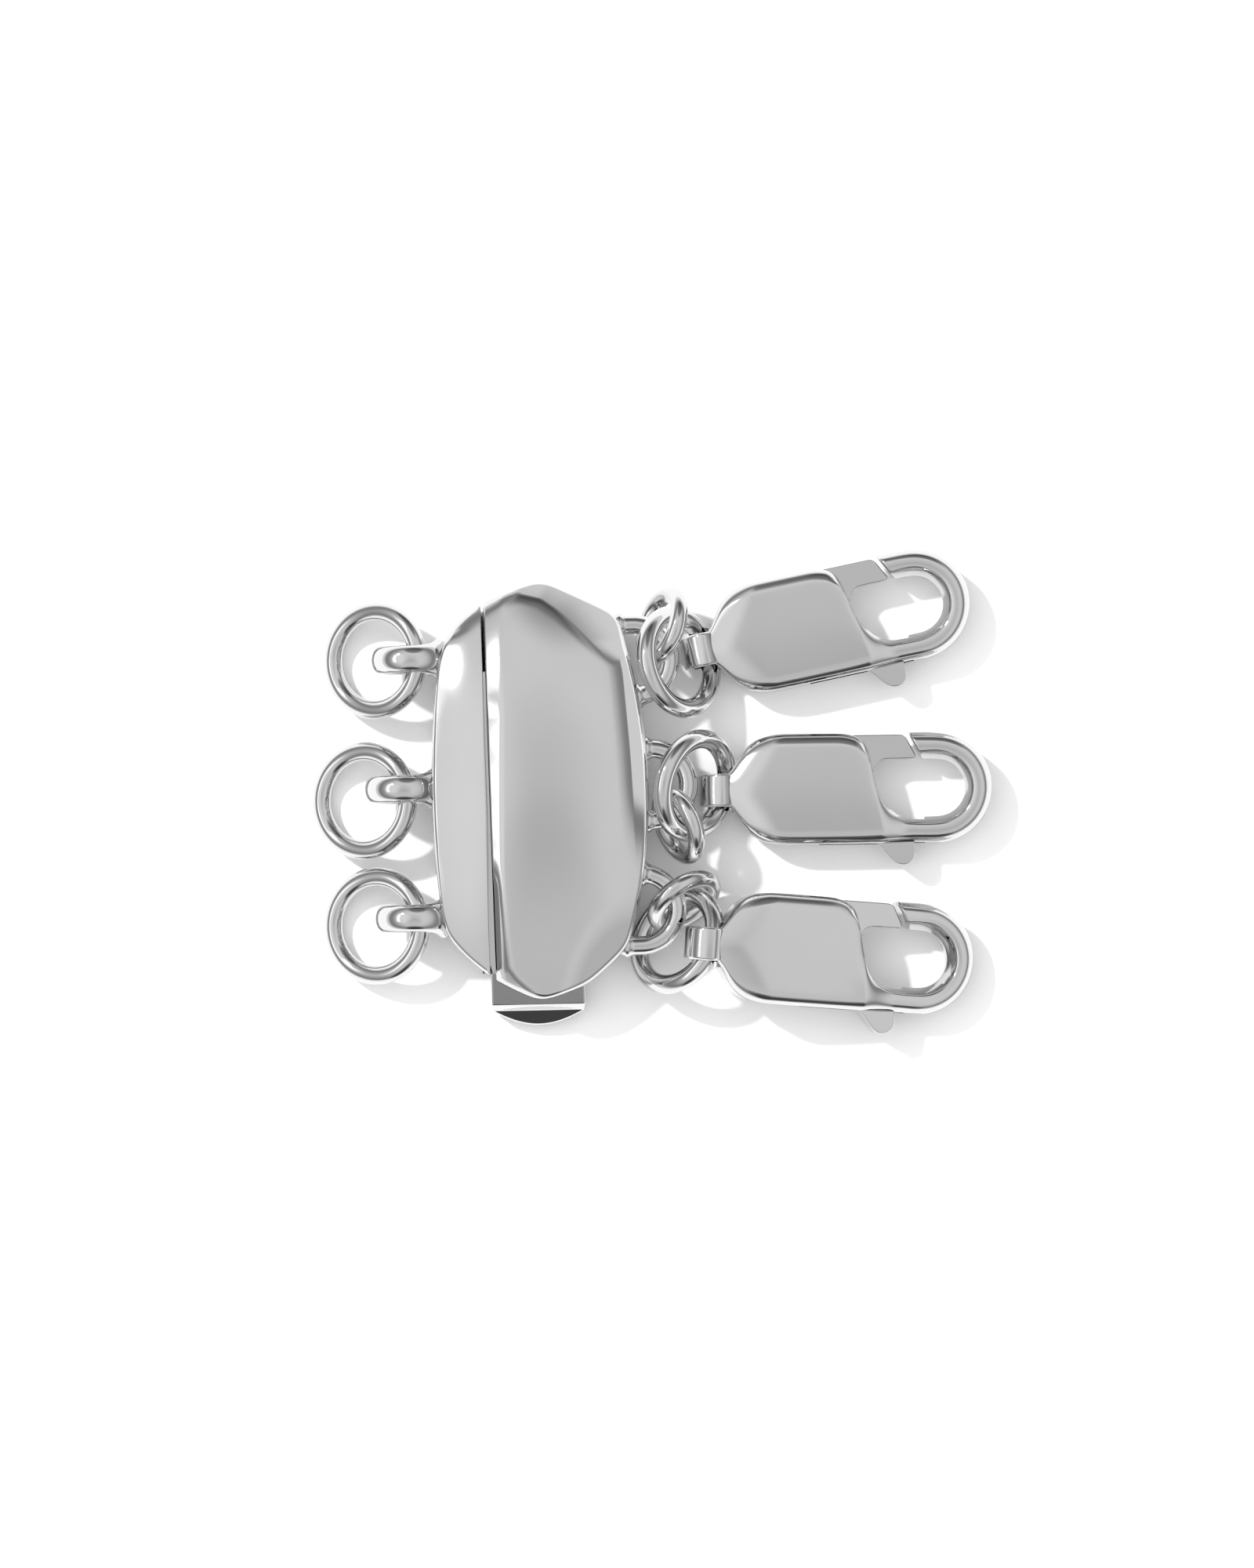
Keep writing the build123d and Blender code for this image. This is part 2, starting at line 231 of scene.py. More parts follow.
def moved(solid, origin, axes):
    # a solid drawn in local axes, put where the axes and the origin say
    points, faces = solid
    return np.asarray(origin, float) + np.asarray(points) @ np.array(axes, float), faces


def nodePoints(node):
    # the corners of a node's mesh in the frame
    mesh = frame["nodes"][node].data
    points = np.zeros(len(mesh.vertices) * 3)
    mesh.vertices.foreach_get("co", points)
    return points.reshape(-1, 3) / mm


# finishes

def linear(hexColour):
    # an sRGB hex colour as linear light
    values = [int(hexColour[k:k + 2], 16) / 255 for k in (1, 3, 5)]
    return tuple(v / 12.92 if v <= 0.04045 else ((v + 0.055) / 1.055) ** 2.4 for v in values) + (1.0,)


def addNode(tree, kind, settings, links=()):
    # one node with its properties or socket values, and its links as (output socket, own input)
    node = tree.nodes.new(kind)
    for key, value in settings.items():
        if hasattr(node, key):
            setattr(node, key, value)
        else:
            node.inputs[key].default_value = value
    for source, target in links:
        tree.links.new(source, node.inputs[target])
    return node


def polishedPlate(name, look):
    # a mirror-like metal whose colour and roughness drift a little, with a fine grain in relief
    finish = bpy.data.materials.new(name)
    finish.use_nodes = True
    tree = finish.node_tree
    shader = tree.nodes["Principled BSDF"]
    shader.inputs["Metallic"].default_value = 1.0
    place = addNode(tree, "ShaderNodeTexCoord", {}).outputs["Object"]
    cloud = addNode(tree, "ShaderNodeTexNoise", {"Scale": 1 / (look["cloudSize"] * mm), "Detail": 3.0},
                    [(place, "Vector")])
    colour = addNode(tree, "ShaderNodeMix", {"data_type": "RGBA"}, [(cloud.outputs["Fac"], "Factor")])
    colour.inputs["A"].default_value = linear(look["darkColour"])
    colour.inputs["B"].default_value = linear(look["lightColour"])
    tree.links.new(colour.outputs["Result"], shader.inputs["Base Color"])
    haze = addNode(tree, "ShaderNodeMapRange",
                   {"To Min": look["roughness"] - look["haze"], "To Max": look["roughness"] + look["haze"]},
                   [(cloud.outputs["Fac"], "Value")])
    tree.links.new(haze.outputs["Result"], shader.inputs["Roughness"])
    grain = addNode(tree, "ShaderNodeTexNoise", {"Scale": 1 / (look["grainSize"] * mm), "Detail": 2.0},
                    [(place, "Vector")])
    relief = addNode(tree, "ShaderNodeBump",
                     {"Strength": look["grainStrength"], "Distance": look["grainDepth"] * mm},
                     [(grain.outputs["Fac"], "Height")])
    tree.links.new(relief.outputs["Normal"], shader.inputs["Normal"])
    return finish


# Rhodium plate over cast brass, tumbled and wheel-polished: a bright grey mirror, faintly clouded,
# with a fine grain that sparkles only where a light is mirrored
castLook = dict(
    lightColour="#cecece", darkColour="#c8c8c8",
    cloudSize=3.0,  # the plating's faint clouds are a few millimetres across
    roughness=0.048, haze=0.008,
    grainSize=0.06,  # polishing grit of about 50 micrometres, drawn a little coarser so that it shows
    grainDepth=0.0012, grainStrength=0.5,
)
# Rhodium plate over drawn brass wire, tumbled bright: as the castings, with less grain
wireLook = dict(castLook, cloudSize=1.2, roughness=0.05, grainStrength=0.25)
plate = polishedPlate("polishedRhodiumPlate", castLook)
wire = polishedPlate("drawnRhodiumWire", wireLook)
print("finishes ready")


# slide clasp

clasp = dict(
    halfLength=8.9, halfWidth=4.6,
    rightBow=23.0, leftBow=42.0,  # the radii of the two bowed long sides
    height=4.9, domeAcross=13.0, domeAlong=26.0,  # the dome's height and its two radii
    seam=-2.21, seamLean=-0.0145, seamGap=0.11,
    seamSpread=0.12, spreadFrom=-0.5, spreadOver=6.0,  # the seam opens a little towards the tab
    band=1.78, bandLean=0.018, bandReach=0.3,  # a bright band along the seam, on the housing
    bandSlopes=(0.3, 0.17), bandFrom=3.0, bandOver=1.2,  # its slope near the tab and at the far end
    ridgeBend=0.06, ridgeMeet=0.03,  # how softly a ridge turns, and how softly two ridges meet
    rimRound=0.19, seamRound=0.08, backRound=0.3,
    farRound=0.07, farFrom=6.4, farOver=1.2,  # the housing's rim is sharper at its far end
    seamNear=0.16, seamBlend=0.12,  # where a rim counts as the seam's
    bowSamples=31, outlineSamples=900, seamSamples=40, samples=720, rows=110,
    softness=0.42, seamSoftness=0.07, sharp=40,
)
end = clasp["halfLength"]
# the outline's corners, anticlockwise from the lower apex; a bowed side runs from one y to another
corners = dict(
    lowApex=(-0.14, -end - 0.05), lowRight=[(1.85, -8.27), (2.6, -7.63)], rightSide=(-6.7, 6.3),
    topRight=(3.42, 7.42), topApex=(0.2, end + 0.06), topLeft=[(-0.7, 8.66), (-2.5, 7.98), (-3.45, 7.22)],
    leftSide=(6.1, -6.0), lowLeft=[(-3.25, -7.05), (-1.9, -8.12)],
)
# Ridges in plan, walked anticlockwise. Before a ridge the dome rolls down over the reach until it is steeper
# by roll, and past it the surface falls away by fall for each millimetre. Both fade in from one y to another.
ridges = dict(
    rightStrip=dict(
        points=[(3.95, -5.5), (4.2, -4.2), (4.15, -2.5), (4.0, -0.5), (3.87, 1.45), (3.8, 4.2), (3.45, 5.6),
                (3.1, 6.5)],
        reach=0.9, roll=0.43, fall=0.6, fade=(-4.5, 0.5)),
    upperRight=dict(
        points=[(3.45, 4.95), (2.72, 5.75), (1.64, 6.9), (0.89, 7.62), (0.17, 8.12), (-0.62, 8.34),
                (-1.4, 8.5)],
        reach=0.5, roll=0.38, fall=0.5, fade=(3.4, 6.4)),
    upperLeft=dict(
        points=[(0.2, 8.72), (-0.4, 8.55), (-0.78, 8.5), (-1.29, 8.3), (-1.66, 8.13), (-1.92, 8.0),
                (-2.4, 7.72)],
        reach=0.6, roll=0.42, fall=0.58, fade=(0.0, 1.0)),
    lowerLeft=dict(
        points=[(-1.95, -3.4), (-1.84, -4.46), (-1.75, -6.0), (-1.6, -7.44), (-1.18, -8.06), (-0.58, -8.61),
                (0.0, -9.1)],
        reach=0.4, roll=0.4, fall=0.54, fade=(-2.6, -4.4)),
    farEnd=dict(
        points=[(-1.9, 8.02), (-2.45, 7.78), (-3.0, 7.45), (-3.6, 6.9)],
        reach=0.9, roll=0.45, fall=0.45, fade=(6.2, 7.0)),
)
housingRidges = ("rightStrip", "upperRight", "upperLeft", "lowerLeft")
sliderRidges = ("farEnd",)
# a large shallow plane that cuts the housing's lower right corner
lowerFacet = dict(start=(1.85, -8.27), finish=(3.6, -6.75), rim=3.2, slope=27.5, soft=0.12)


def bowX(radius, y):
    # how far a bowed side, an arc of a circle, stands from the middle line
    return clasp["halfWidth"] - radius + np.sqrt(radius ** 2 - y ** 2)


def bowedPoints(side, bow, start, finish):
    # points along a bowed side, from one y to another
    along = np.linspace(start, finish, clasp["bowSamples"])
    return np.column_stack([side * bowX(clasp[bow], along), along]).tolist()


def claspOutline():
    # the whole outline with its corners rounded
    points = [corners["lowApex"]] + corners["lowRight"]
    points += bowedPoints(1, "rightBow", *corners["rightSide"])
    points += [corners["topRight"], corners["topApex"]] + corners["topLeft"]
    points += bowedPoints(-1, "leftBow", *corners["leftSide"]) + corners["lowLeft"]
    return softOutline(points, clasp["outlineSamples"], clasp["softness"])


def domeHeight(x, y):
    # a dome round both ways: an arc across, carried along a larger arc
    across, along = clasp["domeAcross"], clasp["domeAlong"]
    shoulder = along - across + np.sqrt(across ** 2 - x ** 2)
    return clasp["height"] - along + np.sqrt(shoulder ** 2 - y ** 2)


def pastLine(x, y, start, finish):
    # how far a place lies to the right of the line from one point to another
    (x0, y0), (x1, y1) = start, finish
    return ((x - x0) * (y1 - y0) - (y - y0) * (x1 - x0)) / math.hypot(x1 - x0, y1 - y0)


def rolledFall(past, reach, roll, fall):
    # nothing before the reach, then a slope that grows evenly to roll, and past the line a straight fall
    return roll * np.clip(past + reach, 0, reach) ** 2 / (2 * reach) + fall * np.clip(past, 0, None)


def ridgeDrop(ridge, x, y):
    # how far a ridge lowers the dome at a place: the fall past the farthest of its runs, times its fade
    past = None
    for start, finish in zip(ridge["points"][:-1], ridge["points"][1:]):
        away = pastLine(x, y, start, finish)
        past = away if past is None else -softMin(-past, -away, clasp["ridgeBend"])
    none, full = ridge["fade"]
    return rolledFall(past, ridge["reach"], ridge["roll"], ridge["fall"]) * eased((y - none) / (full - none))


def lowered(top, x, y, names):
    # the dome less the deepest of the drops
    drop = np.zeros_like(top)
    for name in names:
        drop = -softMin(-drop, -ridgeDrop(ridges[name], x, y), clasp["ridgeMeet"])
    return top - drop


def housingHeight(x, y):
    # the dome, less a fall along the seam and the ridges' drops, and never above the lower facet's plane
    past = -x - clasp["band"] + clasp["bandLean"] * y
    slope = mixed(*clasp["bandSlopes"], eased((y - clasp["bandFrom"]) / clasp["bandOver"]))
    seamDrop = slope * rolledFall(past, clasp["bandReach"], 1.0, 1.0)
    top = lowered(domeHeight(x, y) - seamDrop, x, y, housingRidges)
    inside = -pastLine(x, y, lowerFacet["start"], lowerFacet["finish"])
    plane = lowerFacet["rim"] + math.tan(math.radians(lowerFacet["slope"])) * inside
    return softMin(top, plane, lowerFacet["soft"])


def sliderHeight(x, y):
    # the left half's dome runs straight out to the seam
    return lowered(domeHeight(x, y), x, y, sliderRidges)


def seamX(side, y):
    # the seam's edge on one half: nearly upright, and the left half draws away from it towards the tab
    middle = clasp["seam"] + clasp["seamLean"] * y
    spread = clasp["seamSpread"] * eased((clasp["spreadFrom"] - y) / clasp["spreadOver"])
    return middle + side * clasp["seamGap"] / 2 - (side < 0) * spread


def halfOutline(side):
    # the part of the outline on one side of the seam, and the seam's own straight edge
    outline = claspOutline()
    kept = side * (outline[:, 0] - seamX(side, outline[:, 1])) > 0
    first = np.argmax(kept & ~np.roll(kept, 1))
    rows = np.roll(outline, -first, 0)[:kept.sum()]
    fall = np.linspace(rows[-1, 1], rows[0, 1], clasp["seamSamples"])
    edge = np.column_stack([seamX(side, fall), fall])
    return softOutline(np.vstack([rows, edge]), clasp["samples"], clasp["seamSoftness"])


crowned = dict(
    leastFacing=0.45,  # a rim seen very aslant from the middle is drawn in no further than this allows
    crowding=1.25,  # rows stand closer towards the rim
    footDepth=1.1,  # the rim's rounding ends this many widths down the wall
    rimSteps=9, wallSteps=6, backSteps=6,
)


def crownedSolid(outline, middle, height, width, back, rows, wall):
    # rows from the middle out to the rim, then a curve round the rim, the upright wall and a quarter circle
    # at the back; the rim's curve is a parabola from the top row over the knee to its foot on the wall
    inward = inwardNormals(outline)
    count = len(outline)
    width = np.broadcast_to(width, count)[:, None]
    ray = middle - outline
    ray /= np.linalg.norm(ray, axis=1, keepdims=True)
    facing = np.clip((ray * inward).sum(1), crowned["leastFacing"], None)[:, None]
    inset = outline + ray * width / facing
    shares = 1 - np.linspace(1, 0, rows) ** crowned["crowding"]
    rings = []
    for share in shares[1:]:
        flat = middle + (inset - middle) * share
        rings.append(np.column_stack([flat, height(flat[:, 0], flat[:, 1])]))
    rimHeight = height(outline[:, 0], outline[:, 1])
    start, knee = rings[-1], np.column_stack([outline, rimHeight])
    foot = np.column_stack([outline, rimHeight - crowned["footDepth"] * width[:, 0]])
    for t in np.linspace(0, 1, crowned["rimSteps"])[1:]:
        rings.append((1 - t) ** 2 * start + 2 * t * (1 - t) * knee + t * t * foot)
    for share in np.linspace(0, 1, crowned["wallSteps"])[1:]:
        rings.append(np.column_stack([outline, mixed(foot[:, 2], np.full(count, wall + back), share)]))
    for turn in np.linspace(0, quarterTurn, crowned["backSteps"])[1:]:
        drawn = outline + inward * back * (1 - math.cos(turn))
        rings.append(np.column_stack([drawn, np.full(count, wall + back * (1 - math.sin(turn)))]))
    rings.append(np.column_stack([outline + inward * back * faceInset, np.full(count, wall)]))
    rings = np.array(rings[::-1])
    faces = ringFaces(len(rings), count)
    faces.append(list(range(count - 1, -1, -1)))
    peak = np.array([[*middle, float(height(middle[:1], middle[1:])[0])]])
    last = (len(rings) - 1) * count
    faces += [[last + k, last + (k + 1) % count, len(rings) * count] for k in range(count)]
    return np.vstack([rings.reshape(-1, 3), peak]), faces


def domedHalf(side):
    # one half of the slide clasp; its rim is rounded, less along the seam and at the housing's far end
    outline = halfOutline(side)
    fromSeam = side * (outline[:, 0] - seamX(side, outline[:, 1]))
    onSeam = eased((clasp["seamNear"] - fromSeam) / clasp["seamBlend"])
    far = eased((outline[:, 1] - clasp["farFrom"]) / clasp["farOver"]) * (side > 0)
    width = mixed(mixed(clasp["rimRound"], clasp["farRound"], far), clasp["seamRound"], onSeam)
    middle = np.array([mixed(outline[:, 0].min(), outline[:, 0].max(), 0.5), 0.0])
    height = housingHeight if side > 0 else sliderHeight
    return crownedSolid(outline, middle, height, width, clasp["backRound"], clasp["rows"], 0.0)


# the channel in the housing, as wide and high as the bar and its neck with their clearance
channel = dict(left=-1.4, right=1.5, low=0.6, high=2.2, stop=5.6, neckLow=1.05, neckHigh=1.75,
               clearance=0.06, past=1.0)
gap = channel["clearance"]
mouth = -end - channel["past"]
channelBox = box((channel["left"] - gap, mouth, channel["low"] - gap),
                 (channel["right"] + gap, channel["stop"] + gap, channel["high"] + gap))
neckBox = box((clasp["seam"] - channel["past"], mouth, channel["neckLow"] - gap),
              (channel["left"], channel["stop"] + gap, channel["neckHigh"] + gap))
housingSolid = carved(domedHalf(1), "DIFFERENCE", channelBox, neckBox)
newPiece("housingShell", housingSolid, plate, "housing", "slide_housing", sharp=clasp["sharp"])
newPiece("sliderShell", domedHalf(-1), plate, "slider", "slide_bar")
print("slide clasp halves ready")


# fixed rings on the housing

loops = dict(
    middle=0.2, pitch=5.3, radius=1.53, wire=0.8, height=2.0,
    stand=0.15, root=1.0,  # the straight wire outside the wall, and inside it
    flare=0.14, flareReach=0.16,  # solder thickens the wire at the wall
    rootSamples=12, bendSamples=60, wireSides=40,
)
wallSide = 2.0  # points of the outline past this x belong to the right side
rightWall = np.array(sorted((y, x) for x, y in halfOutline(1) if x > wallSide))


def tubeRings(path, across, radii, count):
    # circles of a given radius square to a path that lies in a plane; across is the plane's normal
    ahead = np.gradient(path, axis=0)
    ahead /= np.linalg.norm(ahead, axis=1, keepdims=True)
    side = np.cross(across, ahead)[:, None]
    turn = np.linspace(0, fullTurn, count, endpoint=False)[None, :, None]
    circles = np.cos(turn) * side + np.sin(turn) * np.array(across)[None, None]
    return path[:, None] + radii[:, None, None] * circles


def fixedLoop(y):
    # half a ring of wire with two roots in the wall, thicker by a bell curve where the solder has run
    wall = bowX(clasp["rightBow"], y)
    straight = np.linspace(-loops["root"], loops["stand"], loops["rootSamples"])[:-1]
    turn = np.linspace(-quarterTurn, quarterTurn, loops["bendSamples"])
    r = loops["radius"]
    low = np.stack([wall + straight, np.full(len(straight), y - r)], 1)
    bend = np.stack([wall + loops["stand"] + r * np.cos(turn), y + r * np.sin(turn)], 1)
    top = np.stack([wall + straight[::-1], np.full(len(straight), y + r)], 1)
    flat = np.vstack([low, bend, top])
    path = np.column_stack([flat, np.full(len(flat), loops["height"])])
    wallHere = np.interp(flat[:, 1], rightWall[:, 0], rightWall[:, 1])
    flare = loops["flare"] * np.exp(-((flat[:, 0] - wallHere) / loops["flareReach"]) ** 2)
    return ringSolid(tubeRings(path, (0, 0, 1), loops["wire"] / 2 + flare, loops["wireSides"]))


loopSolids = [fixedLoop(loops["middle"] + step * loops["pitch"]) for step in (1, 0, -1)]
strandLoops = newPiece("strandLoops", together(*loopSolids), wire, "housing")
strandLoops.visible_glossy = False  # the housing's right facet mirrors a clean room, without the rings
print("fixed loops ready")


# upright eyes on the left half

eyes = dict(
    middle=0.2, pitch=5.5, reach=2.87, height=2.25, radius=1.3, depth=0.72, breadth=1.14,
    flareBreadth=0.3, flareDepth=0.05, flareReach=0.28,  # the foot of an eye spreads over the wall
    samples=96, sides=48,
)


def uprightEye(y):
    # a flattened wire bent into a ring that stands upright, broader by an exponential towards the wall
    wall = -bowX(clasp["leftBow"], y)
    middle = wall - eyes["reach"] + eyes["radius"] + eyes["depth"] / 2
    turn = np.linspace(0, fullTurn, eyes["samples"], endpoint=False)
    around = np.linspace(0, fullTurn, eyes["sides"], endpoint=False)
    centreX = middle + eyes["radius"] * np.cos(turn)
    centreZ = eyes["height"] + eyes["radius"] * np.sin(turn)
    nearWall = np.exp(-np.clip(wall - centreX, 0, None) / eyes["flareReach"])
    broad = eyes["breadth"] / 2 + eyes["flareBreadth"] * nearWall
    deep = eyes["depth"] / 2 + eyes["flareDepth"] * nearWall
    out = deep[:, None] * np.cos(around)[None]
    x = centreX[:, None] + out * np.cos(turn)[:, None]
    z = centreZ[:, None] + out * np.sin(turn)[:, None]
    side = y - broad[:, None] * np.sin(around)[None]
    return torusSolid(np.stack([x, side, z], -1))


eyeSolids = [uprightEye(eyes["middle"] + step * eyes["pitch"]) for step in (1, 0, -1)]
newPiece("sliderEyes", together(*eyeSolids), plate, "slider")


# end tab

tab = dict(
    left=-2.27, right=1.72, front=-9.05, point=-9.9, low=0.3, brow=1.85,
    leftBack=-7.62, middleBack=-8.75, rightBack=-8.2, middleY=-8.95,
    arcAngle=1.1, arcRise=0.62,  # the front arc, in radians each way, and how far it draws back at the sides
    topSlope=26, stepDrop=0.38, stepSlope=68, facetSlope=33, stepSoft=0.06, browSoft=0.05,
    edge=0.09, back=0.12, softness=0.07, arcSamples=17, samples=420, rows=90,
)
tabMiddle = (tab["left"] + tab["right"]) / 2


def tabHeight(x, y):
    # a top that slopes a little, a steep step at its front, and below that a facet out to the point
    out = tab["front"] - y
    planes = [(0, tab["topSlope"]), (0, tab["stepSlope"]), (tab["stepDrop"], tab["facetSlope"])]
    top, step, facet = (
        tab["brow"] - drop - math.tan(math.radians(slope)) * out for drop, slope in planes)
    low = -softMin(-step, -facet, tab["stepSoft"])
    return softMin(top, low, tab["browSoft"])


def tabOutline():
    # slanted at the back, and at the front an arc that comes to a soft point in the middle
    across = np.linspace(-1, 1, tab["arcSamples"])
    drawBack = (1 - np.cos(across * tab["arcAngle"])) / (1 - math.cos(tab["arcAngle"])) * tab["arcRise"]
    arc = np.column_stack([tabMiddle + (tab["right"] - tab["left"]) / 2 * across, tab["point"] + drawBack])
    back = [(tab["right"], tab["rightBack"]), (0.0, tab["middleBack"]), (tab["left"], tab["leftBack"])]
    return back + arc.tolist()


tabShape = softOutline(tabOutline(), tab["samples"], tab["softness"])
tabSolid = crownedSolid(tabShape, np.array([tabMiddle, tab["middleY"]]), tabHeight, tab["edge"], tab["back"],
                        tab["rows"], tab["low"])
newPiece("endTab", tabSolid, plate, "slider")


# sliding bar, and the neck that joins it to the left half through the seam

bar = dict(front=-8.1, softness=0.05, edge=0.08)
neck = dict(
    lap=0.22, bend=0.04, front=-0.12,  # how far left of the seam the neck reaches, from far to near
    barLap=0.1, bendStart=-6.9, bendMiddle=-7.6, frontEnd=-8.4, farEnd=5.2, softness=0.06, edge=0.04,
)
slabSamples = 160
barCorners = [(channel["left"], bar["front"]), (channel["right"], bar["front"]),
              (channel["right"], channel["stop"]), (channel["left"], channel["stop"])]
barOutline = softOutline(barCorners, slabSamples, bar["softness"])
newPiece("sliderBar", roundedSlab(barOutline, channel["low"], channel["high"], bar["edge"]), plate, "slider")
inBar = channel["left"] + neck["barLap"]
neckCorners = [
    (clasp["seam"] - neck["lap"], neck["bendStart"]), (clasp["seam"] - neck["bend"], neck["bendMiddle"]),
    (clasp["seam"] - neck["front"], neck["frontEnd"]), (inBar, neck["frontEnd"]), (inBar, neck["farEnd"]),
    (clasp["seam"] - neck["lap"], neck["farEnd"]),
]
neckOutline = softOutline(neckCorners, slabSamples, neck["softness"])
neckSolid = roundedSlab(neckOutline, channel["neckLow"], channel["neckHigh"], neck["edge"])
newPiece("sliderNeck", neckSolid, plate, "slider")
print("slider ready")


# jump rings, each read from its own solid in the frame

ringKinds = dict(
    left=dict(radius=2.1, thickness=0.8, body="slider", mirrored=True),
    small=dict(radius=1.38, thickness=0.74, body="housing", mirrored=False),
    large=dict(radius=2.02, thickness=0.82, body="housing", mirrored=False),
)
ringSteps = dict(along=144, around=40)


def jumpRing(node, radius, thickness):
    # round wire bent to a circle: a small circle carried round a large one; the large circle's plane
    # comes from the directions in which the node's corners spread most
    points = nodePoints(node)
    middle = (points.min(0) + points.max(0)) / 2
    first, second, third = np.linalg.svd(points - middle, full_matrices=False)[2]
    if np.dot(np.cross(first, second), third) < 0:
        third = -third
    turn = np.linspace(0, fullTurn, ringSteps["along"], endpoint=False)[:, None, None]
    around = np.linspace(0, fullTurn, ringSteps["around"], endpoint=False)[None, :, None]
    out = radius + thickness / 2 * np.cos(around)
    flat = out * (np.cos(turn) * first + np.sin(turn) * second)
    return torusSolid(middle + flat + thickness / 2 * np.sin(around) * third)


for kind, look in ringKinds.items():
    for number in (1, 2, 3):
        node = f"{kind}_ring_{number}"
        solid = jumpRing(node, look["radius"], look["thickness"])
        ring = newPiece(f"{kind}Ring{number}", solid, wire, look["body"], node)
        ring.visible_glossy = look["mirrored"]  # off beside the housing, whose facet mirrors a clean room
print("jump rings ready")


# lobster clasps, drawn in their own axes: x from the tail, y across, z up from the middle plane

claw = dict(
    half=2.35, outerExtra=0.03, arm=1.12,  # half the clasp's width, and how broad the hook's arm is
    bendX=10.15, tipInner=9.62, tipOuter=9.05,  # the bend's centre, and the two corners of the tip
    plateHalf=1.2, armHalf=0.9, armFrom=7.6, armOver=1.7,  # half thicknesses, and where the arm takes over
    plateDrop=0.12, armDrop=0.24, neckDrop=0.16,  # how much lower the top is at its edges
    neckBend=0.03, neckEnd=3.4, neckFrom=1.4, neckOver=2.4,  # the top curves down towards the tail
    shoulderX=2.85, shoulderY=1.17, shoulderRise=0.301, shoulderFall=0.222,
    shoulderBow=0.05, shoulderSoft=0.14,
    roundWidth=0.62, roundDepth=0.42, armRoundWidth=0.42, armRoundDepth=0.34,  # rounded outer edges
    bevelWidth=0.36, bevelDepth=0.46, bevelRidge=0.88, bevelSoft=0.14,  # the bevel round the hook's opening
    bevelFrom=6.7, bevelOver=0.8,
    tailShare=0.4, tailFrom=0.2, tailOver=1.6,  # the roundings start narrower at the tail
    tipEdge=0.12, tipInset=0.93, tipSteps=6,
    stations=420, edgeSteps=14, crownSteps=14, bendSamples=25, softReach=24, softSpread=6.0, sharp=38,
)
# the two edges of the plate and hook, paired from the tail to the tip: upper or inner, then lower or outer
clawRows = [
    dict(upper=(1.15, 0.68), lower=(1.15, -0.68)),
    dict(upper=(1.4, 0.72), lower=(1.4, -0.72)),
    dict(upper=(1.6, 1.08), lower=(1.6, -1.06)),
    dict(upper=(1.95, 1.76), lower=(1.95, -1.74)),
    dict(upper=(2.55, 2.2), lower=(2.6, -2.17)),
    dict(upper=(3.3, 2.36), lower=(3.3, -2.34)),
    dict(upper=(4.8, 2.36), lower=(4.7, -2.36)),
    dict(upper=(6.25, 2.35), lower=(5.9, -2.36)),
    dict(upper=(6.95, 2.16), lower=(6.6, -2.36)),
    dict(upper=(7.34, 1.62), lower=(7.1, -2.36)),
    dict(upper=(7.42, 0.75), lower=(7.5, -2.36)),
    dict(upper=(7.68, -0.25), lower=(7.95, -2.36)),
    dict(upper=(8.1, -0.9), lower=(8.4, -2.36)),
    dict(upper=(8.7, -1.2), lower=(8.9, -2.36)),
    dict(upper=(9.4, -1.24), lower=(9.5, -2.36)),
]


def clawEdges():
    # the paired edges walked finely and softened by a bell curve: the rows above, half circles round the
    # bend, then the tip
    inner, outer = claw["half"] - claw["arm"], claw["half"] + claw["outerExtra"]
    bend = np.linspace(-quarterTurn, quarterTurn, claw["bendSamples"])
    arc = np.stack([np.cos(bend), np.sin(bend)], 1)
    centre = np.array([claw["bendX"], 0.0])
    upper = np.vstack([[row["upper"] for row in clawRows], centre + inner * arc, (claw["tipInner"], inner)])
    lower = np.vstack([[row["lower"] for row in clawRows], centre + outer * arc, (claw["tipOuter"], outer)])
    rows = np.hstack([upper, lower])
    middles = (upper + lower) / 2
    way = np.concatenate([[0], np.cumsum(np.linalg.norm(np.diff(middles, axis=0), axis=1))])
    at = np.linspace(0, way[-1], claw["stations"])
    fine = np.stack([np.interp(at, way, rows[:, k]) for k in range(4)], 1)
    reach = claw["softReach"]
    padded = np.vstack([2 * fine[0] - fine[reach:0:-1], fine, 2 * fine[-1] - fine[-2:-reach - 2:-1]])
    bell = np.exp(-0.5 * (np.arange(-reach, reach + 1) / claw["softSpread"]) ** 2)
    bell /= bell.sum()
    soft = np.stack([np.convolve(padded[:, k], bell, "valid") for k in range(4)], 1)
    return soft[:, :2], soft[:, 2:], at


def edgeRound(u):
    # a quarter circle: 1 at the wall, where it is upright, and 0 at the crown
    return 1 - np.sqrt(np.clip(1 - (1 - u) ** 2, 0, 1))


def edgeBevel(u):
    # a straight bevel with a narrow ridge where it meets the crown
    return -softMin(np.zeros_like(u), u - claw["bevelRidge"], claw["bevelSoft"])


def shouldered(height, x, y):
    # beside the tail each shoulder has a soft plane, slightly bowed along its length
    rise, fall = claw["shoulderRise"], claw["shoulderFall"]
    ahead = x - claw["shoulderX"]
    for side in (1, -1):
        across = side * y - claw["shoulderY"]
        plane = claw["plateHalf"] + rise * ahead - fall * across
        bow = claw["shoulderBow"] * (fall * ahead + rise * across) ** 2
        height = softMin(height, plane - bow, claw["shoulderSoft"])
    return height


